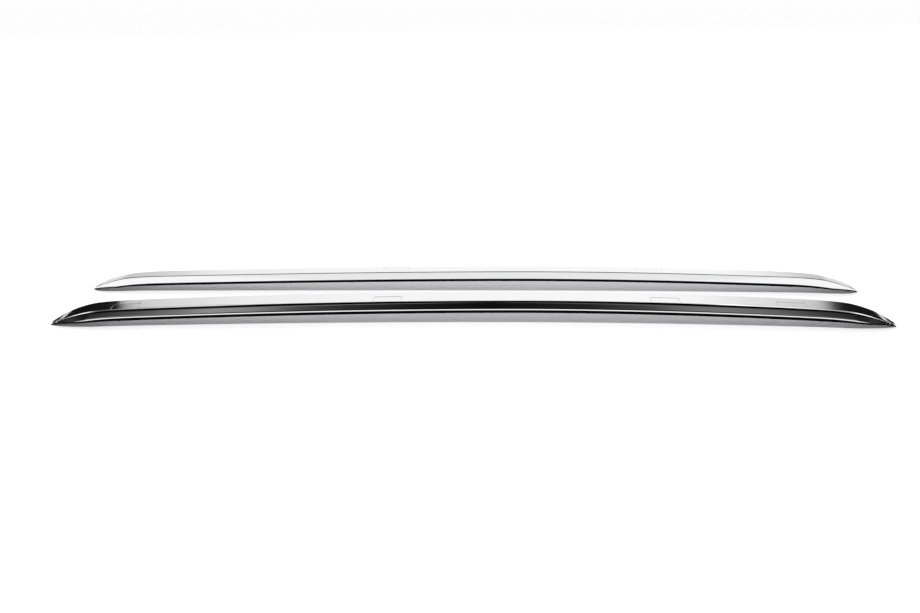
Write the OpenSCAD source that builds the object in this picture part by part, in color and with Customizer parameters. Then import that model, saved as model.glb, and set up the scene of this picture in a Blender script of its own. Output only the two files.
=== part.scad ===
// Pair of flush roof side rails: polished bent tubes with rubber feet, seals and cover plugs
// X runs forward along the rails, Y to the left, Z up; the origin is on the floor, midway

/* [Length and curve] */
// Length of each rail from tip to tip
rail_l = 1730; // [1500:5:2000]
// Distance between the centre lines of the two top faces at the apex
rail_gap = 144; // [110:1:400]
// How far the highest point lies ahead of mid-length, as a share of half the length
apex_share = 0.157; // [-0.25:0.001:0.25]
// Fall of the arch from the apex to each tip
arch_drop = 22.8; // [12:0.1:40]
// Power that shapes the arch
arch_power = 1.84; // [1.6:0.01:2.2]
// Extra fall of each end below the arch
end_dip = 17.7; // [8:0.1:26]
// Length over which the extra fall grows
end_dip_l = 177; // [130:1:220]
// Power that shapes the extra fall
end_dip_power = 2.45; // [1.8:0.05:3.2]
// Radius of the gentle curve seen from above
plan_r = 37600; // [20000:100:90000]

/* [Rail section] */
// Height of the metal tube at its top centre line
rail_h = 16.5; // [14:0.1:24]
// Half the width of the top face
top_half_w = 20.2; // [17:0.1:26]
// How much higher the inner edge of the top face is than the outer crest
top_tilt = 2.8; // [0:0.1:5]
// Overhang of the outer bottom edge beyond the crest
outer_flare = 10.5; // [6:0.1:14]
// How far the inner bottom edge is set in from the top edge
inner_tuck = 1; // [0:0.1:4]
// Height of the upright band along the outer bottom edge
band_h = 3.8; // [2.5:0.1:6]
// Wall of the tube
wall = 2.6; // [2:0.1:3.2]
// Rounding of the outer crest
crest_r = 8; // [1:0.5:9]
// Rounding of the inner top edge
inner_top_r = 2.2; // [1:0.1:5]
// Rounding of the band's upper edge
band_r = 2.5; // [1:0.1:3]
// Rounding of the two bottom edges
edge_r = 1.1; // [0.5:0.1:1.5]
// Rounding of the corners inside the tube
hollow_r = 0.6; // [0.3:0.1:1.2]

/* [Tips] */
// Height of the metal at each tip
tip_h = 3; // [2.5:0.1:6]
// Length over which the height falls to that of the tip
taper_l = 100; // [80:1:135]
// Power that shapes the falling height
taper_power = 1.65; // [1.1:0.05:2.2]
// Length over which the plan outline closes to the tip
point_l = 39; // [20:1:60]
// Power that shapes the closing outline
point_power = 2.05; // [1.6:0.05:3]
// Width of the tip as a share of the full width
tip_share = 0.125; // [0.1:0.005:0.4]
// How far outward of the top centre line the tip lies
tip_v = 3.7; // [-5:0.1:8]
// Length over which the outer flare draws in
flare_l = 90; // [50:1:120]
// Share of the flare that is left at the tip
flare_keep = 0.05; // [0:0.01:0.5]
// Distance from the tip at which the upright band runs out
band_in = 52; // [30:1:80]
// Length over which the band runs out
band_fade = 40; // [20:1:60]
// Share of the band's height that is left beyond
band_keep = 0.12; // [0.05:0.01:0.5]

/* [Base seal and end pads] */
// Thickness of the base seal
seal_t = 5.3; // [4:0.1:8]
// How far the seal's sides are set in from the tube's bottom edges
seal_inset = 0.6; // [0:0.1:2]
// Width of each of the two lips under the seal
lip_w = 4.5; // [3:0.1:7]
// Depth of the channel between the lips
lip_h = 1.4; // [0.6:0.1:2]
// Length of each end pad
pad_l = 157; // [150:1:165]
// How far each pad reaches past the metal tip
pad_lip = 2; // [1:0.1:4]
// Thickness of the pad at the tip
pad_tip_t = 2; // [1.5:0.1:4]
// Gap between the seal and each pad
joint_gap = 0.3; // [0.1:0.1:0.8]

/* [Cover plugs] */
// Length of a cover plug
plug_l = 57.5; // [45:0.5:60]
// Width of a cover plug
plug_w = 19; // [18:0.5:24]
// Corner radius of a cover plug
plug_r = 4; // [2:0.5:7]
// Thickness of a plug's face plate
plug_t = 1.6; // [1.2:0.1:1.8]
// Clearance around the plug
plug_gap = 0.25; // [0.1:0.05:0.5]
// Depth of the ring under the plug's face
plug_ring_h = 4; // [2:0.5:5]
// Wall of that ring
plug_ring_wall = 1.2; // [0.8:0.1:2]

/* [Fixings] */
// How far outward of the top centre line the fixings, plugs and pins sit
fix_v = 7; // [4:0.5:9]
// Distance of the rearmost fixing from the rear pad
fix_rear_in = 10; // [9:1:40]
// Place of the second fixing from mid-length, as a share of half the length
fix_second = -0.18; // [-0.3:0.005:-0.08]
// Place of the third fixing from mid-length, as a share of half the length
fix_third = 0.466; // [0.35:0.001:0.5]
// Distance of the foremost fixing from the front pad
fix_front_in = 54; // [30:1:90]
// Radius of the hole for an M6 screw in each clamp sleeve
screw_r = 3.3; // [3.1:0.05:3.6]
// Outer radius of a sleeve's shank
sleeve_r = 5.5; // [5:0.1:6]
// Outer radius of a sleeve's flange
flange_r = 7.5; // [7:0.1:8]
// Thickness of a sleeve's flange
flange_t = 2.5; // [1.5:0.1:3.5]
// Depth of the flat cut for the flange into the tube's bottom wall
seat_cut = 0.6; // [0.5:0.05:0.9]
// Clearance between a sleeve's shank and its holes
sleeve_gap = 0.15; // [0.05:0.05:0.3]
// Radius of the access hole under a plug
access_r = 8; // [7.7:0.1:8.5]

/* [Locating pins] */
// Distance of each pin from its pad's inner end
pin_in = 9.5; // [8:0.5:20]
// Radius of a pin
pin_r = 4.5; // [3.5:0.1:5.5]
// Length of a pin below the pad
pin_drop = 11; // [6:0.5:14]
// Radius of the spigot that enters the tube's bottom wall
spigot_r = 3; // [2:0.1:3.3]
// Clearance around the pin and its spigot
pin_gap = 0.2; // [0.1:0.05:0.4]
// Edge break at a pin's lower end
pin_chamfer = 1; // [0.5:0.1:2]

/* [Hidden] */
half_l = rail_l / 2;
mid_half = half_l - pad_l;
apex_x = apex_share * half_l;
base_out = top_half_w + outer_flare;
base_in = inner_tuck - top_half_w;
crest_w = rail_h - top_tilt / 2;
inner_w = rail_h + top_tilt / 2;
top_angle = atan(top_tilt / (2 * top_half_w));
// Height of the top face above the underside at the fixings
face_w = rail_h - fix_v * tan(top_angle);
// Height of the tube's underside at the apex, so that the pads stand on the floor at the tips
apex_rise = pad_tip_t + arch_drop + end_dip;
fix_a = fix_rear_in - mid_half;
fix_b = fix_second * half_l;
fix_c = fix_third * half_l;
fix_d = mid_half - fix_front_in;
fix_xs = [fix_a, fix_b, fix_c, fix_d];
mid_cells = 30;
mid_step = 2 * mid_half / mid_cells;
end_cells = 13;
end_spread = 1.5;
round_steps = 3;
slope_step = 1;
fine = 64;
corner_fn = 24;
// How far a cutting shape runs past what it cuts
over = 5;

// Places along the rail where its section is drawn: closer together towards the tips
end_xs = [for (i = [0 : end_cells])
    mid_half + (pad_l - pad_lip) * (1 - pow(1 - i / end_cells, end_spread))];
mid_xs = [for (i = [0 : mid_cells]) i * mid_step - mid_half];
front_xs = [for (i = [1 : end_cells]) end_xs[i]];
rear_xs = [for (i = [end_cells : -1 : 1]) -end_xs[i]];
all_xs = concat(rear_xs, mid_xs, front_xs);

// A section point is measured outward from the top centre line and up from the tube's underside

// Distance from the apex as a share of the way to the tip
function reach(x) = abs(x - apex_x) / (x < apex_x ? half_l + apex_x : half_l - apex_x);
// How far into the last l of an end a place lies, from 0 to 1
function end_share(x, l) = max(0, 1 - (half_l - min(abs(x), half_l)) / l);
// Height of the tube's underside
function base_z(x) =
    apex_rise - arch_drop * pow(reach(x), arch_power)
    - end_dip * pow(end_share(x, end_dip_l), end_dip_power);
// Slope of the underside
function base_slope(x) = (base_z(x + slope_step) - base_z(x - slope_step)) / (2 * slope_step);
// Height of the tube as a share of the full height
function height_share(x) = 1 - (1 - tip_h / rail_h) * pow(end_share(x, taper_l), taper_power);
// Width of the section as a share of the full width
function width_share(x) = 1 - (1 - tip_share) * pow(end_share(x, point_l), point_power);
// Sideways place of the top centre line
function plan_v(x) = pow(x - apex_x, 2) / (2 * plan_r);
// Share of the outer flare that is left
function flare_share(x) = 1 - (1 - flare_keep) * end_share(x, flare_l);
// Share of the upright band's height that is left
function band_share(x) = max(band_keep, min(1, (half_l - abs(x) - band_in) / band_fade));
// Thickness of the rubber under the tube
function rubber_t(x) = seal_t - (seal_t - pad_tip_t) * end_share(x, pad_l);

function unit(a) = a / norm(a);
// Points of the fillet at corner q between its neighbours p and r
function fillet(p, q, r, rad, n) =
    let (a = unit(p - q), b = unit(r - q), half = acos(a * b) / 2)
    let (c = q + unit(a + b) * rad / sin(half), s = q + a * rad / tan(half) - c)
    let (start = atan2(s.y, s.x), turn = 180 - 2 * half)
    [for (i = [0 : n]) c + rad * [cos(start + turn * i / n), sin(start + turn * i / n)]];
// A closed outline with every corner rounded by its own radius
function rounded(corners, radii, n) =
    let (m = len(corners))
    [for (i = [0 : m - 1])
        each fillet(corners[(i + m - 1) % m], corners[i], corners[(i + 1) % m], radii[i], n)];
// The corners of a convex outline moved inward by t
function inset(corners, t) =
    let (m = len(corners))
    [for (i = [0 : m - 1])
        let (a = unit(corners[i] - corners[(i + m - 1) % m]), b = unit(corners[(i + 1) % m] - corners[i]))
        let (na = [-a.y, a.x], nb = [-b.y, b.x])
        corners[i] + t * (na + nb) / (1 + na * nb)];

tube_corners = [
    [base_out, 0],
    [base_out, band_h],
    [top_half_w, crest_w],
    [-top_half_w, inner_w],
    [base_in, 0]
];
tube_outline = rounded(tube_corners, [edge_r, band_r, crest_r, inner_top_r, edge_r], round_steps);
hollow_outline = rounded(inset(tube_corners, wall), [for (c = tube_corners) hollow_r], 1);

// Sideways place of a section point, with the flare drawn in and the outline closed towards the tips
function across(x, v) =
    let (drawn = min(v, top_half_w) + max(0, v - top_half_w) * flare_share(x))
    rail_gap / 2 + plan_v(x) + tip_v + (drawn - tip_v) * width_share(x);
// Height of a section point above the underside, with the outer side's band run out towards the tips
function upward(x, p) =
    let (band = band_h * band_share(x), slope = (crest_w - band) / (crest_w - band_h))
    height_share(x) * (p.x < 0 || p.y > crest_w ? p.y :
        p.y < band_h ? p.y * band_share(x) : crest_w - (crest_w - p.y) * slope);
// Moves a section point to its place along the rail
function on_rail(x, p) = [x, across(x, p.x), base_z(x) + upward(x, p)];
tube_rings = [for (x = all_xs) [for (p = tube_outline) on_rail(x, p)]];
// The tube is solid where its height or its band runs out
hollow_half = half_l - max(taper_l, band_in + band_fade);
hollow_rings = [for (x = all_xs) if (abs(x) < hollow_half) [for (p = hollow_outline) on_rail(x, p)]];

// Rubber section at x: two lips with a shallow channel between them, hung under the tube
function rubber_ring(x, t, grow) =
    let (o = across(x, base_out - seal_inset) + grow, i = across(x, base_in + seal_inset) - grow)
    let (s = (o - i) / (base_out - base_in - 2 * seal_inset), h = lip_h * t / seal_t)
    let (a = s * h, b = s * lip_w)
    let (pts = [[i, 0], [i, h - t], [i + a, -t], [i + b, -t], [i + a + b, h - t],
                [o - a - b, h - t], [o - b, -t], [o - a, -t], [o, h - t], [o, 0]])
    [for (p = pts) [x, p.x, base_z(x) + p.y]];

// Skin between rings of equal point counts, closed at both ends
module loft(rings) {
    n = len(rings[0]);
    m = len(rings);
    points = [for (ring = rings) each ring];
    sides = [for (i = [0 : m - 2], j = [0 : n - 1])
        let (k = (j + 1) % n)
        each [[i * n + j, (i + 1) * n + k, i * n + k], [i * n + j, (i + 1) * n + j, (i + 1) * n + k]]];
    rear_cap = [[for (j = [0 : n - 1]) j]];
    front_cap = [[for (j = [n - 1 : -1 : 0]) (m - 1) * n + j]];
    polyhedron(points, concat(sides, rear_cap, front_cap), convexity = 6);
}

// Puts its children at a place on the tube's underside, on the line of the fixings
module at_fixing(x) {
    translate([x, rail_gap / 2 + plan_v(x) + fix_v, base_z(x)]) children();
}

// Flat plate with round corners, standing on the XY plane
module round_plate(l, w, r, h) {
    hull() for (sx = [-1, 1], sy = [-1, 1])
        translate([sx * (l / 2 - r), sy * (w / 2 - r), 0]) cylinder(r = r, h = h, $fn = corner_fn);
}

// Turns its children into the plane of the top face and raises them to the plug's ledge
module on_ledge(x) {
    at_fixing(x) translate([0, 0, face_w - plug_t / cos(top_angle)])
        rotate([-top_angle, -atan(base_slope(x)), 0]) children();
}

// Upright spindle cut around a fixing: recess, access hole, flange seat and shank hole
module fixing_cuts(x) {
    on_ledge(x) round_plate(plug_l + 2 * plug_gap, plug_w + 2 * plug_gap, plug_r + plug_gap, rail_h);
    at_fixing(x) {
        translate([0, 0, wall - seat_cut]) cylinder(r = access_r, h = rail_h - wall + seat_cut, $fn = fine);
        translate([0, 0, -over]) cylinder(r = sleeve_r + sleeve_gap, h = over + wall, $fn = fine);
    }
}

module at_pin(side) {
    at_fixing(side * (mid_half + pin_in)) children();
}

module rail() {
    color("silver") difference() {
        loft(tube_rings);
        loft(hollow_rings);
        for (x = fix_xs) fixing_cuts(x);
        for (side = [-1, 1]) at_pin(side)
            translate([0, 0, -over]) cylinder(r = spigot_r + pin_gap, h = wall + 2 * over, $fn = fine);
    }
}

module seal() {
    ends = mid_half - joint_gap;
    xs = concat([-ends], [for (x = mid_xs) if (abs(x) < ends) x], [ends]);
    color("black") difference() {
        loft([for (x = xs) rubber_ring(x, seal_t, 0)]);
        for (x = fix_xs) at_fixing(x) translate([0, 0, -seal_t - over])
            cylinder(r = sleeve_r + sleeve_gap, h = seal_t + 2 * over, $fn = fine);
    }
}

// End pad under the tube's tip, reaching a little past it all round
module pad(side) {
    xs = side < 0 ? concat([-half_l], rear_xs, [-mid_half]) : concat([mid_half], front_xs, [half_l]);
    color("black") difference() {
        loft([for (x = xs) rubber_ring(x, rubber_t(x), pad_lip * end_share(x, point_l))]);
        at_pin(side) translate([0, 0, -seal_t - over])
            cylinder(r = pin_r + pin_gap, h = seal_t + 2 * over, $fn = fine);
    }
}

// Cover plug: its face follows the top of the tube, and its ring enters the access hole
module plug(x) {
    near_xs = [for (s = all_xs) if (abs(s - x) < plug_l / 2 + mid_step) s];
    ring_low = face_w - wall - plug_ring_h;
    ring_top = face_w - plug_t / 2;
    ring_out = access_r - plug_gap;
    color("lightgray") union() {
        intersection() {
            loft([for (s = near_xs) [for (p = tube_outline) on_rail(s, p)]]);
            on_ledge(x) round_plate(plug_l, plug_w, plug_r, rail_h);
        }
        at_fixing(x) difference() {
            translate([0, 0, ring_low]) cylinder(r = ring_out, h = ring_top - ring_low, $fn = fine);
            translate([0, 0, ring_low - over])
                cylinder(r = ring_out - plug_ring_wall, h = plug_ring_h + over, $fn = fine);
        }
    }
}

// Clamp sleeve: the screw bears on its flange, and its shank stops the seal from being crushed
module sleeve(x) {
    seat = wall - seat_cut;
    sleeve_h = seal_t + seat + flange_t;
    color("gray") at_fixing(x) difference() {
        union() {
            translate([0, 0, seat]) cylinder(r = flange_r, h = flange_t, $fn = fine);
            translate([0, 0, -seal_t]) cylinder(r = sleeve_r, h = sleeve_h - flange_t / 2, $fn = fine);
        }
        translate([0, 0, -seal_t - over]) cylinder(r = screw_r, h = sleeve_h + 2 * over, $fn = fine);
    }
}

// Locating pin: a turned stud with a broken lower edge and a thinner spigot on top
module pin(side) {
    t = rubber_t(mid_half + pin_in);
    color("dimgray") at_pin(side) rotate_extrude($fn = fine) polygon([
        [0, -t - pin_drop], [pin_r - pin_chamfer, -t - pin_drop], [pin_r, -t - pin_drop + pin_chamfer],
        [pin_r, -pin_gap], [spigot_r, -pin_gap], [spigot_r, wall], [0, wall]
    ]);
}

rail();  // left_rail
seal();  // left_seal
pad(-1);  // left_rear_pad
pad(1);  // left_front_pad
plug(fix_a);  // left_plug_1
plug(fix_b);  // left_plug_2
plug(fix_c);  // left_plug_3
plug(fix_d);  // left_plug_4
sleeve(fix_a);  // left_sleeve_1
sleeve(fix_b);  // left_sleeve_2
sleeve(fix_c);  // left_sleeve_3
sleeve(fix_d);  // left_sleeve_4
pin(-1);  // left_rear_pin
pin(1);  // left_front_pin
// The right rail is the left one's mirror image
mirror([0, 1, 0]) rail();  // right_rail
mirror([0, 1, 0]) seal();  // right_seal
mirror([0, 1, 0]) pad(-1);  // right_rear_pad
mirror([0, 1, 0]) pad(1);  // right_front_pad
mirror([0, 1, 0]) plug(fix_a);  // right_plug_1
mirror([0, 1, 0]) plug(fix_b);  // right_plug_2
mirror([0, 1, 0]) plug(fix_c);  // right_plug_3
mirror([0, 1, 0]) plug(fix_d);  // right_plug_4
mirror([0, 1, 0]) sleeve(fix_a);  // right_sleeve_1
mirror([0, 1, 0]) sleeve(fix_b);  // right_sleeve_2
mirror([0, 1, 0]) sleeve(fix_c);  // right_sleeve_3
mirror([0, 1, 0]) sleeve(fix_d);  // right_sleeve_4
mirror([0, 1, 0]) pin(-1);  // right_rear_pin
mirror([0, 1, 0]) pin(1);  // right_front_pin
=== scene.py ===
import math

import bmesh
import bpy
from mathutils import Matrix, Vector


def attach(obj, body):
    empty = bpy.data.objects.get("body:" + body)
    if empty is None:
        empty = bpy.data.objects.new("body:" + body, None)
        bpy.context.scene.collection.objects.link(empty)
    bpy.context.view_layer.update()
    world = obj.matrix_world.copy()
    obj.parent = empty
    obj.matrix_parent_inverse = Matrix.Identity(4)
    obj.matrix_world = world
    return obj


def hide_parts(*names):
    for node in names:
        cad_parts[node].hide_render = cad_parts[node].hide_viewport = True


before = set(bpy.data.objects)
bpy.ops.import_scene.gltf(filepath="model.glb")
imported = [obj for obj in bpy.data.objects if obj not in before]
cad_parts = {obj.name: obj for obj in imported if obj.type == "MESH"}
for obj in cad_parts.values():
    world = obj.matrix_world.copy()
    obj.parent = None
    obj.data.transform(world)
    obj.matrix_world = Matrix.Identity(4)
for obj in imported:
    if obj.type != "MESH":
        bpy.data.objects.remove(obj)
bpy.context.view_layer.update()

print("frame loaded with", len(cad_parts), "nodes")

mm = 0.001
sides = {"right": -1, "left": 1}
railEnds = {"rear": -1, "front": 1}

# Lines of both rails in millimetres: x forward, v outward from the top centre line, w up from the underside.
# Tapers run back from the tips, and hollow gives the underside's rise by the distance from the tip.
lines = {
    "length": 1730, "gap": 144, "apex": 135.8, "rise": 42.5,
    "archDrop": 22.8, "archPower": 1.84, "endDip": 17.7, "dipLength": 177, "dipPower": 2.45,
    "planRadius": 37600,
    "taperLength": 100, "taperPower": 1.65, "tipHeight": 3,
    "pointLength": 39, "pointPower": 2.05, "tipShare": 0.125, "tipV": 3.7,
    "flareLength": 90, "flareKeep": 0.05, "bandIn": 52, "bandFade": 40, "bandKeep": 0.12,
    "hollow": [(0, 0), (8, 2), (20, 3.8), (32, 4), (48, 2), (65, 0)],
    "crownLength": 240, "crown": 1.6, "crownFrom": -20, "crownTo": 15,
}
halfLength = lines["length"] / 2

# The tube's section and how finely it is drawn along the rail, millimetres
tube = {
    "height": 16.5, "halfWidth": 20.2, "tilt": 2.8, "flare": 10.5, "tuck": 1, "band": 3.6,
    "crestRadius": 13, "innerRadius": 1.6, "bandRadius": 4, "edgeRadius": 0.8,
    "crestSteps": 12, "innerSteps": 6, "bandSteps": 7, "edgeSteps": 5,
    "metalEnd": 863, "middle": 708, "middleStep": 6, "endStep": 2.5, "tipStep": 1, "tipZone": 60,
}
crestHeight = tube["height"] - tube["tilt"] / 2
topAngle = math.atan(tube["tilt"] / (2 * tube["halfWidth"]))


def endShare(x, length):
    return max(0, 1 - (halfLength - min(abs(x), halfLength)) / length)


def baseHeight(x):
    far = halfLength + lines["apex"] if x < lines["apex"] else halfLength - lines["apex"]
    arch = lines["archDrop"] * (abs(x - lines["apex"]) / far) ** lines["archPower"]
    dip = lines["endDip"] * endShare(x, lines["dipLength"]) ** lines["dipPower"]
    return lines["rise"] - arch - dip


def heightShare(x):
    lost = 1 - lines["tipHeight"] / tube["height"]
    return 1 - lost * endShare(x, lines["taperLength"]) ** lines["taperPower"]


def widthShare(x):
    return 1 - (1 - lines["tipShare"]) * endShare(x, lines["pointLength"]) ** lines["pointPower"]


def flareShare(x):
    return 1 - (1 - lines["flareKeep"]) * endShare(x, lines["flareLength"])


def bandShare(x):
    return max(lines["bandKeep"], min(1, (halfLength - abs(x) - lines["bandIn"]) / lines["bandFade"]))


def planShift(x):
    return (x - lines["apex"]) ** 2 / (2 * lines["planRadius"])


# The underside is hollowed a little just inside each tip
def hollowRise(x):
    fromTip = halfLength - min(abs(x), halfLength)
    for (a, low), (b, high) in zip(lines["hollow"], lines["hollow"][1:]):
        if a <= fromTip <= b:
            share = (fromTip - a) / (b - a)
            return low + (high - low) * share
    return 0


def acrossAt(x, v):
    drawn = min(v, tube["halfWidth"]) + max(0, v - tube["halfWidth"]) * flareShare(x)
    return lines["tipV"] + (drawn - lines["tipV"]) * widthShare(x)


# Bends a mesh made straight along X into its place on one rail, and turns millimetres to metres
def bendToRail(bm, side):
    for vert in bm.verts:
        x, v, w = vert.co
        rise = hollowRise(x)
        flat = min(1, max(0, (v - lines["crownFrom"]) / (lines["crownTo"] - lines["crownFrom"]))) ** 2
        fall = lines["crown"] * endShare(x, lines["crownLength"]) * flat * heightShare(x)
        if v >= 0 and w <= crestHeight:  # outer side, whose upright band runs out towards the tips
            band = tube["band"] * bandShare(x)
            if w < tube["band"]:
                w = w * bandShare(x)
            else:
                w = crestHeight - (crestHeight - w) * (crestHeight - band) / (crestHeight - tube["band"])
        w = w * heightShare(x)
        w = rise + w * (1 - rise / (tube["height"] * heightShare(x))) - fall * min(1, w / crestHeight)
        away = side * (lines["gap"] / 2 + planShift(x) + acrossAt(x, v))
        vert.co = (x * mm, away * mm, (baseHeight(x) + w) * mm)
    if side < 0:
        bmesh.ops.reverse_faces(bm, faces=bm.faces)


def toObject(bm, name):
    mesh = bpy.data.meshes.new(name)
    bm.to_mesh(mesh)
    bm.free()
    thing = bpy.data.objects.new(name, mesh)
    bpy.context.scene.collection.objects.link(thing)
    return thing


shading = {"sharpFrom": 32, "flatWeight": 80}  # degrees, and the hold of large faces over small ones


def finishPiece(bm, name, node, material):
    for face in bm.faces:
        face.smooth = True
    sharpFrom = math.radians(shading["sharpFrom"])
    for edge in bm.edges:
        edge.smooth = len(edge.link_faces) == 2 and edge.calc_face_angle() < sharpFrom
    piece = toObject(bm, name)
    piece.data.materials.append(material)
    weights = piece.modifiers.new("flat faces stay flat", "WEIGHTED_NORMAL")
    weights.keep_sharp = True
    weights.weight = shading["flatWeight"]
    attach(piece, "root")
    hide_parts(node)


# The section lists corner, radius and steps. It is drawn at the first station, its corners are rounded, and
# then it is drawn out to every other station.
def sweepSection(section, stations):
    bm = bmesh.new()
    corners = [corner for corner, radius, steps in section]
    verts = [bm.verts.new((stations[0], v, w)) for v, w in corners]
    bm.faces.new(verts)
    for i, (corner, radius, steps) in enumerate(section):
        if not radius:
            continue
        here = Vector(corner)
        before = Vector(corners[i - 1]) - here
        after = Vector(corners[(i + 1) % len(corners)]) - here
        bmesh.ops.bevel(
            bm, geom=[verts[i]], offset=radius / math.tan(before.angle(after) / 2), offset_type="OFFSET",
            affect="VERTICES", segments=steps, profile=0.5, material=-1, clamp_overlap=False)
    loop = list(bm.edges)
    for x0, x1 in zip(stations, stations[1:]):
        out = bmesh.ops.extrude_edge_only(bm, edges=loop)["geom"]
        fresh = {g for g in out if isinstance(g, bmesh.types.BMVert)}
        loop = [g for g in out if isinstance(g, bmesh.types.BMEdge) and set(g.verts) <= fresh]
        bmesh.ops.translate(bm, verts=list(fresh), vec=(x1 - x0, 0, 0))
    bmesh.ops.edgeloop_fill(bm, edges=loop)
    bmesh.ops.recalc_face_normals(bm, faces=bm.faces)
    return bm


def stationsBetween(start, end, step):
    count = max(1, round((end - start) / step))
    return [start + (end - start) * i / count for i in range(count + 1)]


nearlySame = 0.005  # millimetres; closer corners that a cut leaves are joined


# Cuts meshes from another and gives the result as a new bmesh
def cutAway(bm, cutters):
    body = toObject(bm, "body")
    tools = [toObject(cutter, "tool") for cutter in cutters]
    for tool in tools:
        cut = body.modifiers.new("cut", "BOOLEAN")
        cut.operation = "DIFFERENCE"
        cut.solver = "EXACT"
        cut.object = tool
    done = bpy.data.meshes.new_from_object(body.evaluated_get(bpy.context.evaluated_depsgraph_get()))
    result = bmesh.new()
    result.from_mesh(done)
    bmesh.ops.remove_doubles(result, verts=result.verts, dist=nearlySame)
    bmesh.ops.dissolve_degenerate(result, edges=result.edges, dist=nearlySame)
    for thing in [body] + tools:
        bpy.data.objects.remove(thing)
    bpy.data.meshes.remove(done)
    return result


def addNode(tree, kind, inputs=None, **settings):
    node = tree.nodes.new(kind)
    for key, value in settings.items():
        setattr(node, key, value)
    for key, value in (inputs or {}).items():
        if isinstance(value, bpy.types.NodeSocket):
            tree.links.new(value, node.inputs[key])
        else:
            node.inputs[key].default_value = value
    return node


def makeMaterial(name, build, look):
    material = bpy.data.materials.new(name)
    material.use_nodes = True
    build(material.node_tree, material.node_tree.nodes["Principled BSDF"], look)
    return material


def mixColours(tree, factor, first, second):
    blend = addNode(tree, "ShaderNodeMix", {"Factor": factor}, data_type="RGBA")
    blend.inputs["A"].default_value = first + (1,)
    blend.inputs["B"].default_value = second + (1,)
    return blend.outputs["Result"]


def mixNumbers(tree, factor, first, second):
    return addNode(tree, "ShaderNodeMix", {"Factor": factor, "A": first, "B": second}).outputs["Result"]


def mapTo(tree, value, fromLow, fromHigh, low, high):
    spread = {"Value": value, "From Min": fromLow, "From Max": fromHigh, "To Min": low, "To Max": high}
    return addNode(tree, "ShaderNodeMapRange", spread).outputs["Result"]


def doMath(tree, operation, a, b=None):
    inputs = {0: a} if b is None else {0: a, 1: b}
    return addNode(tree, "ShaderNodeMath", inputs, operation=operation).outputs[0]


def addNoise(tree, coords, scale, detail, roughness=0.5):
    grain = {"Vector": coords, "Scale": scale, "Detail": detail, "Roughness": roughness}
    return addNode(tree, "ShaderNodeTexNoise", grain).outputs["Fac"]


# Polished and clear anodised tube: mirror-like, with faint lines left along the rail by the polishing wheel
brightMetal = {
    "dull": (0.915, 0.918, 0.925), "bright": (0.945, 0.946, 0.95), "smooth": 0.05, "rough": 0.11,
    "lineScale": (3, 900, 900), "lineDetail": 4, "lineRoughness": 0.6, "lineFrom": 0.3, "lineTo": 0.7,
    "lineDepth": 0.006, "lineHeight": 0.0001, "cloudScale": 14, "cloudDetail": 3,
}


def polishedMetal(tree, shader, look):
    coords = addNode(tree, "ShaderNodeTexCoord").outputs["Object"]
    along = addNode(tree, "ShaderNodeMapping", {"Vector": coords, "Scale": look["lineScale"]})
    streaks = addNoise(tree, along.outputs["Vector"], 1, look["lineDetail"], look["lineRoughness"])
    clouds = addNoise(tree, coords, look["cloudScale"], look["cloudDetail"])
    colour = mixColours(tree, clouds, look["dull"], look["bright"])
    rough = mapTo(tree, streaks, look["lineFrom"], look["lineTo"], look["smooth"], look["rough"])
    bump = addNode(tree, "ShaderNodeBump",
                   {"Height": streaks, "Strength": look["lineDepth"], "Distance": look["lineHeight"]})
    tree.links.new(colour, shader.inputs["Base Color"])
    tree.links.new(rough, shader.inputs["Roughness"])
    tree.links.new(bump.outputs["Normal"], shader.inputs["Normal"])
    shader.inputs["Metallic"].default_value = 1


# Black rubber of the seals and pads
blackRubber = {
    "clean": (0.0018, 0.0018, 0.002), "dusty": (0.005, 0.005, 0.0052), "grainScale": 1800,
    "dustScale": 60, "smooth": 0.65, "rough": 0.85, "grainDepth": 0.15, "shine": 0.03,
}
# Turned black plastic of the locating pins
blackPlastic = {
    "clean": (0.006, 0.006, 0.007), "dusty": (0.014, 0.014, 0.015), "grainScale": 2500,
    "dustScale": 200, "smooth": 0.4, "rough": 0.6, "grainDepth": 0.1, "shine": 0.3,
}
# Both have a fine grain and a little dust
dusting = {
    "grainDetail": 3, "grainHeight": 0.0002,
    "dustDetail": 5, "dustFrom": 0.45, "dustTo": 0.8, "dustMost": 0.3,
}


def dustyBlack(tree, shader, look):
    coords = addNode(tree, "ShaderNodeTexCoord").outputs["Object"]
    grain = addNoise(tree, coords, look["grainScale"], dusting["grainDetail"])
    dust = addNoise(tree, coords, look["dustScale"], dusting["dustDetail"])
    amount = mapTo(tree, dust, dusting["dustFrom"], dusting["dustTo"], 0, dusting["dustMost"])
    rough = mapTo(tree, grain, 0, 1, look["smooth"], look["rough"])
    bump = addNode(tree, "ShaderNodeBump",
                   {"Height": grain, "Strength": look["grainDepth"], "Distance": dusting["grainHeight"]})
    tree.links.new(mixColours(tree, amount, look["clean"], look["dusty"]), shader.inputs["Base Color"])
    tree.links.new(rough, shader.inputs["Roughness"])
    tree.links.new(bump.outputs["Normal"], shader.inputs["Normal"])
    shader.inputs["Specular IOR Level"].default_value = look["shine"]


# Zinc plated steel, faintly spangled
zincPlate = {
    "dull": (0.50, 0.50, 0.52), "bright": (0.66, 0.66, 0.67), "smooth": 0.28, "rough": 0.45,
    "spangleScale": 700,
}


def platedSteel(tree, shader, look):
    coords = addNode(tree, "ShaderNodeTexCoord").outputs["Object"]
    cells = addNode(tree, "ShaderNodeTexVoronoi", {"Vector": coords, "Scale": look["spangleScale"]})
    colour = mixColours(tree, cells.outputs["Distance"], look["dull"], look["bright"])
    rough = mapTo(tree, cells.outputs["Distance"], 0, 1, look["smooth"], look["rough"])
    tree.links.new(colour, shader.inputs["Base Color"])
    tree.links.new(rough, shader.inputs["Roughness"])
    shader.inputs["Metallic"].default_value = 1


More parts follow.
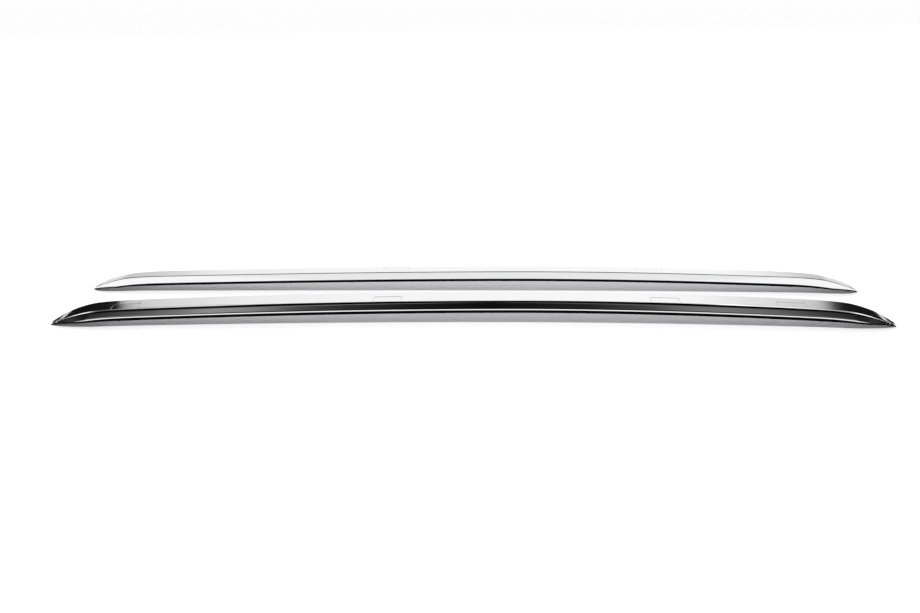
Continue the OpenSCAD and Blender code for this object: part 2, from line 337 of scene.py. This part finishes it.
finishes = {
    "rail": makeMaterial("polished aluminium", polishedMetal, brightMetal),
    "rubber": makeMaterial("black rubber", dustyBlack, blackRubber),
    "plastic": makeMaterial("black plastic", dustyBlack, blackPlastic),
    "zinc": makeMaterial("zinc plated steel", platedSteel, zincPlate),
}
print("materials made")

# Cover plugs in rounded recesses of the top face, and the holes below them, millimetres
plug = {
    "length": 57.5, "width": 19, "radius": 4, "thickness": 1.7, "sunk": 0.25, "gap": 0.25,
    "edgeBreak": 0.15, "edgeSteps": 2, "cornerSteps": 8, "cutEvery": 4, "cutShort": 1,
    "rimRadius": 0.5, "rimSteps": 5, "cutHeight": 10,
    "places": [-698, -155.7, 403.09, 654], "v": 7,
    "accessRadius": 8, "accessDepths": (2, 16), "sleeveHole": 5.65, "pinHole": 3.2, "holeDepths": (-5, 5),
    "pinPlace": 717.5, "holeSides": 48,
}


# Rounded plate; low and high are measured up from the top face
def roundedPlate(length, width, radius, low, high):
    bm = bmesh.new()
    bmesh.ops.create_cube(bm, size=1)
    bmesh.ops.scale(bm, verts=bm.verts, vec=(length, width, high - low))
    bmesh.ops.translate(bm, verts=bm.verts, vec=(0, 0, (low + high) / 2))
    upright = [e for e in bm.edges if abs(e.verts[0].co.z - e.verts[1].co.z) > (high - low) / 2]
    bmesh.ops.bevel(bm, geom=upright, offset=radius, offset_type="OFFSET", affect="EDGES",
                    segments=plug["cornerSteps"], profile=0.5, material=-1, clamp_overlap=True)
    return bm


# Tilts a plate as the top face is tilted, and moves it to its place there
def layOnTop(bm, x):
    place = Matrix.Translation((x, plug["v"], tube["height"] - plug["v"] * math.tan(topAngle)))
    bmesh.ops.transform(bm, matrix=place @ Matrix.Rotation(-topAngle, 4, "X"), verts=bm.verts)
    return bm


# The recess widens upwards in a round rim, so its plate is inset step by step from the top face down
def recessCutter(x):
    rim = plug["rimRadius"]
    grow = 2 * (plug["gap"] + rim)
    bm = roundedPlate(plug["length"] + grow, plug["width"] + grow, plug["radius"] + grow / 2,
                      0, plug["cutHeight"])
    lowest = min(bm.faces, key=lambda f: f.calc_center_median().z)
    angles = [math.pi / 2 * i / plug["rimSteps"] for i in range(plug["rimSteps"] + 1)]
    for a, b in zip(angles, angles[1:]):
        bmesh.ops.inset_individual(bm, faces=[lowest], thickness=rim * (math.sin(b) - math.sin(a)),
                                   depth=rim * (math.cos(a) - math.cos(b)), use_even_offset=True)
    low = bmesh.ops.extrude_discrete_faces(bm, faces=[lowest])["faces"][0]
    bmesh.ops.translate(bm, verts=low.verts, vec=(0, 0, rim - plug["thickness"]))
    return layOnTop(bm, x)


def uprightHole(x, depths, radius):
    low, high = depths
    bm = bmesh.new()
    place = Matrix.Translation((x, plug["v"], (low + high) / 2))
    bmesh.ops.create_cone(bm, cap_ends=True, segments=plug["holeSides"], radius1=radius, radius2=radius,
                          depth=high - low, matrix=place)
    return bm


# Stations stand closest at the tips
def railStations():
    end = tube["metalEnd"]
    tip = end - tube["tipZone"]
    half = stationsBetween(tube["middle"], tip, tube["endStep"])
    half += stationsBetween(tip, end, tube["tipStep"])[1:]
    middle = stationsBetween(-tube["middle"], tube["middle"], tube["middleStep"])
    return [-x for x in reversed(half)] + middle[1:-1] + half


def makeRail(sideName):
    baseOut = tube["halfWidth"] + tube["flare"]
    section = [
        ((baseOut, 0), tube["edgeRadius"], tube["edgeSteps"]),
        ((baseOut, tube["band"]), tube["bandRadius"], tube["bandSteps"]),
        ((tube["halfWidth"], crestHeight), tube["crestRadius"], tube["crestSteps"]),
        ((-tube["halfWidth"], crestHeight + tube["tilt"]), tube["innerRadius"], tube["innerSteps"]),
        ((tube["tuck"] - tube["halfWidth"], 0), tube["edgeRadius"], tube["edgeSteps"]),
    ]
    bm = sweepSection(section, railStations())
    cutters = [recessCutter(x) for x in plug["places"]]
    cutters += [uprightHole(x, plug["accessDepths"], plug["accessRadius"]) for x in plug["places"]]
    cutters += [uprightHole(x, plug["holeDepths"], plug["sleeveHole"]) for x in plug["places"]]
    for end in railEnds.values():
        cutters.append(uprightHole(end * plug["pinPlace"], plug["holeDepths"], plug["pinHole"]))
    bm = cutAway(bm, cutters)
    bendToRail(bm, sides[sideName])
    finishPiece(bm, f"{sideName}_rail_skin", f"{sideName}_rail", finishes["rail"])


for sideName in sides:
    makeRail(sideName)
print("rails swept and cut")


# Cover plug: a rounded plate with a broken upper edge, cut across so that it can follow the tube
def makePlug(sideName, number, x):
    bm = roundedPlate(plug["length"], plug["width"], plug["radius"], -plug["thickness"], -plug["sunk"])
    rim = [e for e in bm.edges if min(v.co.z for v in e.verts) > -plug["sunk"] - nearlySame]
    bmesh.ops.bevel(bm, geom=rim, offset=plug["edgeBreak"], offset_type="OFFSET", affect="EDGES",
                    segments=plug["edgeSteps"], profile=0.5, material=-1, clamp_overlap=True)
    reach = plug["length"] / 2 - plug["radius"] - plug["cutShort"]
    for cut in stationsBetween(-reach, reach, plug["cutEvery"]):
        bmesh.ops.bisect_plane(bm, geom=bm.verts[:] + bm.edges[:] + bm.faces[:],
                               plane_co=(cut, 0, 0), plane_no=(1, 0, 0))
    bendToRail(layOnTop(bm, x), sides[sideName])
    finishPiece(bm, f"{sideName}_cover_plug_{number}", f"{sideName}_plug_{number}",
                finishes["rail"])


for sideName in sides:
    for number, x in enumerate(plug["places"], 1):
        makePlug(sideName, number, x)
print("cover plugs made")

# Base seal and end pads, millimetres: two soft-edged lips with a shallow channel between them, of which
# the outer one wraps a little way round the tube's lower edge
rubber = {
    "thickness": 6, "tipThickness": 2, "inner": -18.6, "outer": 30.75, "lipTop": 0.6, "lipIn": 0.7,
    "lipWidth": 4.5, "channel": 1.4, "softEdge": 0.5, "softSteps": 3,
    "padLength": 157, "padLip": 2, "jointGap": 0.3,
    "sealHole": 5.65, "pinHole": 4.7, "holeDepths": (-10, 5), "step": 6, "endStep": 3,
}


def rubberStrip(start, end, step):
    low, high, deep = rubber["inner"], rubber["outer"], -rubber["thickness"]
    lip, slope, soft = rubber["lipWidth"], rubber["channel"], rubber["softEdge"]
    corners = [
        ((high - rubber["lipIn"], 0), 0), ((high, rubber["lipTop"]), 0),
        ((high, deep), soft), ((high - lip, deep), soft), ((high - lip - slope, deep + slope), 0),
        ((low + lip + slope, deep + slope), 0), ((low + lip, deep), soft), ((low, deep), soft), ((low, 0), 0),
    ]
    section = [(corner, radius, rubber["softSteps"]) for corner, radius in corners]
    return sweepSection(section, stationsBetween(start, end, step))


# Bends rubber that hangs below the tube; at the tips it reaches a little past the metal all round
def bendRubber(bm, side):
    low, high = rubber["inner"], rubber["outer"]
    for vert in bm.verts:
        x, v, w = vert.co
        past = rubber["padLip"] * endShare(x, lines["pointLength"])
        inner, outer = acrossAt(x, low) - past, acrossAt(x, high) + past
        across = inner + (outer - inner) * (v - low) / (high - low)
        thinned = (rubber["thickness"] - rubber["tipThickness"]) * endShare(x, rubber["padLength"])
        w = w * (rubber["thickness"] - thinned) / rubber["thickness"] + hollowRise(x)
        away = side * (lines["gap"] / 2 + planShift(x) + across)
        vert.co = (x * mm, away * mm, (baseHeight(x) + w) * mm)
    if side < 0:
        bmesh.ops.reverse_faces(bm, faces=bm.faces)


def makeSeal(sideName):
    reach = tube["middle"] - rubber["jointGap"]
    bm = cutAway(rubberStrip(-reach, reach, rubber["step"]),
                 [uprightHole(x, rubber["holeDepths"], rubber["sealHole"]) for x in plug["places"]])
    bendRubber(bm, sides[sideName])
    finishPiece(bm, f"{sideName}_base_seal", f"{sideName}_seal", finishes["rubber"])


def makePad(sideName, endName):
    end = railEnds[endName]
    bm = rubberStrip(tube["middle"], halfLength, rubber["endStep"])
    if end < 0:
        bmesh.ops.scale(bm, verts=bm.verts, vec=(-1, 1, 1))
        bmesh.ops.reverse_faces(bm, faces=bm.faces)
    bm = cutAway(bm, [uprightHole(end * plug["pinPlace"], rubber["holeDepths"], rubber["pinHole"])])
    bendRubber(bm, sides[sideName])
    finishPiece(bm, f"{sideName}_{endName}_end_pad", f"{sideName}_{endName}_pad",
                finishes["rubber"])


for sideName in sides:
    makeSeal(sideName)
    for endName in railEnds:
        makePad(sideName, endName)
print("seals and end pads made")

# The solids that stay as they are get their finish
nodeFinish = {"pin": "plastic", "sleeve": "zinc"}
for name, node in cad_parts.items():
    for key, finish in nodeFinish.items():
        if key in name:
            node.data.materials.clear()
            node.data.materials.append(finishes[finish])
print("solids finished")

# Camera fitted to both rails of the view, metres and degrees
view = {
    "place": (0.04822, -1.34907, 0.66192), "yaw": -2.548, "pitch": 26.1024, "roll": -0.9612,
    "focal": 694.945, "imageWidth": 920, "sensor": 36, "nearest": 0.01,  # focal length in pixels
}
camera = bpy.data.objects.new("camera", bpy.data.cameras.new("camera"))
bpy.context.scene.collection.objects.link(camera)
camera.data.sensor_fit = "HORIZONTAL"
camera.data.sensor_width = view["sensor"]
camera.data.lens = view["focal"] / view["imageWidth"] * view["sensor"]
camera.data.clip_start = view["nearest"]
camera.matrix_world = (
    Matrix.Translation(view["place"])
    @ Matrix.Rotation(-math.radians(view["yaw"]), 4, "Z")
    @ Matrix.Rotation(math.radians(90 - view["pitch"]), 4, "X")
    @ Matrix.Rotation(math.radians(view["roll"]), 4, "Z")
)
bpy.context.scene.camera = camera

# White floor, metres. It keeps the shadow for the camera. For mirror rays it carries a painted glow, with its
# shadows weakened, so the metal mirrors it more evenly lit. Past the rails' ends it carries a painted dark
# reflection, darkest in front.
paper = {
    "size": 14, "dark": 0.79, "light": 0.81, "grainScale": 300, "grainDetail": 2, "seenShare": 1.6,
    "paintedMirrorGlow": 0.78, "mirrorShare": 0.3, "edgeIn": 0.872, "edgeOut": 0.9,
    "paintedFrontLevel": 0.03, "paintedBackLevel": 0.75, "backFrom": 0.08, "backTo": 0.2,
}


def floorPaper(tree, shader, look):
    tree.nodes.remove(shader)
    coords = addNode(tree, "ShaderNodeTexCoord").outputs["Object"]
    place = addNode(tree, "ShaderNodeSeparateXYZ", {0: coords}).outputs
    path = addNode(tree, "ShaderNodeLightPath").outputs
    mirrored = doMath(tree, "MAXIMUM", path["Is Glossy Ray"], path["Is Transmission Ray"])
    grain = addNoise(tree, coords, look["grainScale"], look["grainDetail"])
    tone = mapTo(tree, grain, 0, 1, look["dark"], look["light"])
    # painted dark reflection: past the rails' ends, the floor that mirror rays see is dimmed, nearly black in
    # front and grey behind
    past = mapTo(tree, doMath(tree, "ABSOLUTE", place["X"]), look["edgeIn"], look["edgeOut"], 0, 1)
    paintedEndDark = mapTo(tree, place["Y"], look["backFrom"], look["backTo"], look["paintedFrontLevel"], look["paintedBackLevel"])
    level = mixNumbers(tree, past, 1, paintedEndDark)
    share = mixNumbers(tree, mirrored, 1, doMath(tree, "MULTIPLY", level, look["mirrorShare"]))
    share = mixNumbers(tree, path["Is Camera Ray"], share, look["seenShare"])
    tone = doMath(tree, "MULTIPLY", tone, share)
    grey = addNode(tree, "ShaderNodeCombineColor", {"Red": tone, "Green": tone, "Blue": tone})
    matt = addNode(tree, "ShaderNodeBsdfDiffuse", {"Color": grey.outputs["Color"]})
    # painted glow that only mirror rays see, so the metal reflects the floor more evenly lit than it is
    power = doMath(tree, "MULTIPLY", mirrored, doMath(tree, "MULTIPLY", level, look["paintedMirrorGlow"]))
    glow = addNode(tree, "ShaderNodeEmission", {"Strength": power})
    both = addNode(tree, "ShaderNodeAddShader", {0: matt.outputs[0], 1: glow.outputs[0]})
    tree.links.new(both.outputs[0], tree.nodes["Material Output"].inputs["Surface"])


def makeFloor():
    bm = bmesh.new()
    bmesh.ops.create_grid(bm, x_segments=1, y_segments=1, size=paper["size"] / 2)
    floor = toObject(bm, "floor")
    floor.data.materials.append(makeMaterial("floor paper", floorPaper, paper))


makeFloor()

# The room as the metal mirrors it, angles in degrees. Azimuth is measured from the back, positive to the
# right; height is the angle over the back's horizon. Behind is a white wall that goes on overhead in the
# middle; at each side a long soft strip of light lies over it, which the crests catch, and the front is
# dark with a faint lamp on each side. The wall is listed by azimuth and the strip by the direction's x.
room = {
    "wall": [
        (-180, 0.004), (-167, 0.010), (-160, 0.021), (-154, 0.036), (-150, 0.08), (-146, 0.22), (-141, 0.31),
        (-138, 0.16), (-133, 0.072), (-127, 0.040), (-116, 0.016), (-105, 0.006), (-36.5, 0.008),
        (-34.5, 0.60), (-31, 0.73), (-25, 0.88), (-14, 0.97), (17, 1.0), (21, 0.97), (25, 0.84), (30, 0.70),
        (33, 0.56), (35.5, 0.010), (105, 0.006), (119, 0.018), (133, 0.045), (138, 0.11), (144, 0.19),
        (149, 0.16), (154, 0.055), (163, 0.016), (180, 0.004),
    ],
    "wallTop": 36, "wallTopSoft": 2, "frontFrom": 90, "frontSoft": 1,
    "overTop": 58, "overSoft": 4, "overHalf": 0.37, "overEdge": 0.02, "overLevel": 0.94,
    "dimFrom": 25, "dimBelow": 24, "dimSoft": 3, "dimShare": 0.18,
    "strip": [
        (-0.69, 0.9), (-0.64, 0.6), (-0.60, 0.08), (-0.55, 0.12), (-0.47, 0.58), (-0.4, 0.7), (-0.35, 0.0),
        (0.33, 0.0), (0.37, 1.0), (0.45, 0.85), (0.54, 0.3), (0.60, 0.42), (0.64, 0.8), (0.69, 1.0),
    ],
    "stripPower": 1.4, "stripLow": 46, "stripHigh": 67, "stripSoft": 2,
    "fill": 0.36, "fillLow": 2, "fillHeight": 30, "fillSoft": 12, "fillLeft": 1.2, "fillBack": 0.4,
    "fillColour": (0.97, 0.97, 1.0), "backgroundLevel": 0.985,
}
world = bpy.data.worlds.new("studio room")
bpy.context.scene.world = world
world.use_nodes = True
tree = world.node_tree


def mathNode(operation, a, b=None):
    return doMath(tree, operation, a, b)


# Rises from 0 to 1 where the value passes a place
def rises(value, middle, soft):
    spread = {"Value": value, "From Min": middle - soft, "From Max": middle + soft, "To Min": 0, "To Max": 1}
    return addNode(tree, "ShaderNodeMapRange", spread, interpolation_type="SMOOTHSTEP").outputs["Result"]


# The same for an angle in degrees
def passes(value, angle, soft):
    return rises(value, math.radians(angle), math.radians(soft))


def without(value):
    return mathNode("SUBTRACT", 1, value)


# Brightness read off a list of places
def readOff(value, low, high, stops):
    ramp = addNode(tree, "ShaderNodeValToRGB", {"Fac": mapTo(tree, value, low, high, 0, 1)})
    elements = ramp.color_ramp.elements
    while len(elements) < len(stops):
        elements.new(0.5)  # its place follows below
    for element, (place, level) in zip(elements, stops):
        element.position = (place - low) / (high - low)
        element.color = (level, level, level, 1)
    return ramp.outputs["Color"]


ray = addNode(tree, "ShaderNodeTexCoord").outputs["Generated"]
direction = addNode(tree, "ShaderNodeSeparateXYZ", {0: ray}).outputs
azimuth = mathNode("ARCTAN2", direction["X"], direction["Y"])
height = mathNode("ARCTAN2", direction["Z"], direction["Y"])
turned = mathNode("MULTIPLY", azimuth, 180 / math.pi)
pastWall = passes(height, room["wallTop"], room["wallTopSoft"])
beforeFront = without(passes(height, room["frontFrom"], room["frontSoft"]))
overhead = mathNode("MULTIPLY", pastWall, without(passes(height, room["overTop"], room["overSoft"])))
middle = without(rises(mathNode("ABSOLUTE", direction["X"]), room["overHalf"], room["overEdge"]))
overSeen = mathNode("MULTIPLY", mathNode("MULTIPLY", overhead, middle), room["overLevel"])
aboveWall = mathNode("MULTIPLY", pastWall, beforeFront)
inStrip = mathNode("MULTIPLY", passes(height, room["stripLow"], room["stripSoft"]),
                   without(passes(height, room["stripHigh"], room["stripSoft"])))
dim = mathNode("MULTIPLY", passes(mathNode("ABSOLUTE", azimuth), room["dimFrom"], room["dimSoft"]),
               without(passes(height, room["dimBelow"], room["dimSoft"])))
wallSeen = mathNode("MULTIPLY", readOff(turned, -180, 180, room["wall"]), without(aboveWall))
wallSeen = mathNode("MULTIPLY", wallSeen, without(mathNode("MULTIPLY", dim, room["dimShare"])))
stripSeen = mathNode("MULTIPLY", mathNode("MULTIPLY", readOff(direction["X"], -1, 1, room["strip"]), inStrip),
                     room["stripPower"])
path = addNode(tree, "ShaderNodeLightPath").outputs
mirrored = mathNode("MULTIPLY", path["Is Glossy Ray"],
                    mathNode("ADD", mathNode("ADD", wallSeen, stripSeen), overSeen))
behind = mathNode("MULTIPLY", mathNode("MAXIMUM", path["Is Camera Ray"], path["Is Transmission Ray"]),
                  room["backgroundLevel"])
uneven = mathNode("ADD", mathNode("MULTIPLY", direction["X"], -room["fillLeft"]),
                  mathNode("MULTIPLY", direction["Y"], room["fillBack"]))
low = without(passes(mathNode("ARCSINE", direction["Z"]), room["fillHeight"], room["fillSoft"]))
level = mathNode("MULTIPLY", mathNode("ADD", 1, mathNode("MULTIPLY", low, room["fillLow"])), room["fill"])
lit = mathNode("MULTIPLY", mathNode("MULTIPLY", path["Is Diffuse Ray"], level),
               mathNode("MAXIMUM", mathNode("ADD", 1, uneven), 0))
background = tree.nodes["Background"]
tree.links.new(mathNode("ADD", mathNode("ADD", mirrored, behind), lit), background.inputs["Strength"])
tint = mixColours(tree, path["Is Diffuse Ray"], (1, 1, 1), room["fillColour"])
tree.links.new(tint, background.inputs["Color"])

# Key lamp far off at the front, at the height that throws each rail's shadow back under it
key = {"azimuth": 172, "height": 50, "softness": 5, "power": 2.0}


def addKey():
    light = bpy.data.lights.new("key", "SUN")
    light.energy = key["power"]
    light.angle = math.radians(key["softness"])
    lamp = bpy.data.objects.new("key", light)
    bpy.context.scene.collection.objects.link(lamp)
    lamp.rotation_euler = (math.radians(90 - key["height"]), 0, math.radians(180 - key["azimuth"]))
    lamp.visible_glossy = False


addKey()
print("studio lit")

bpy.context.scene.view_settings.view_transform = "Standard"
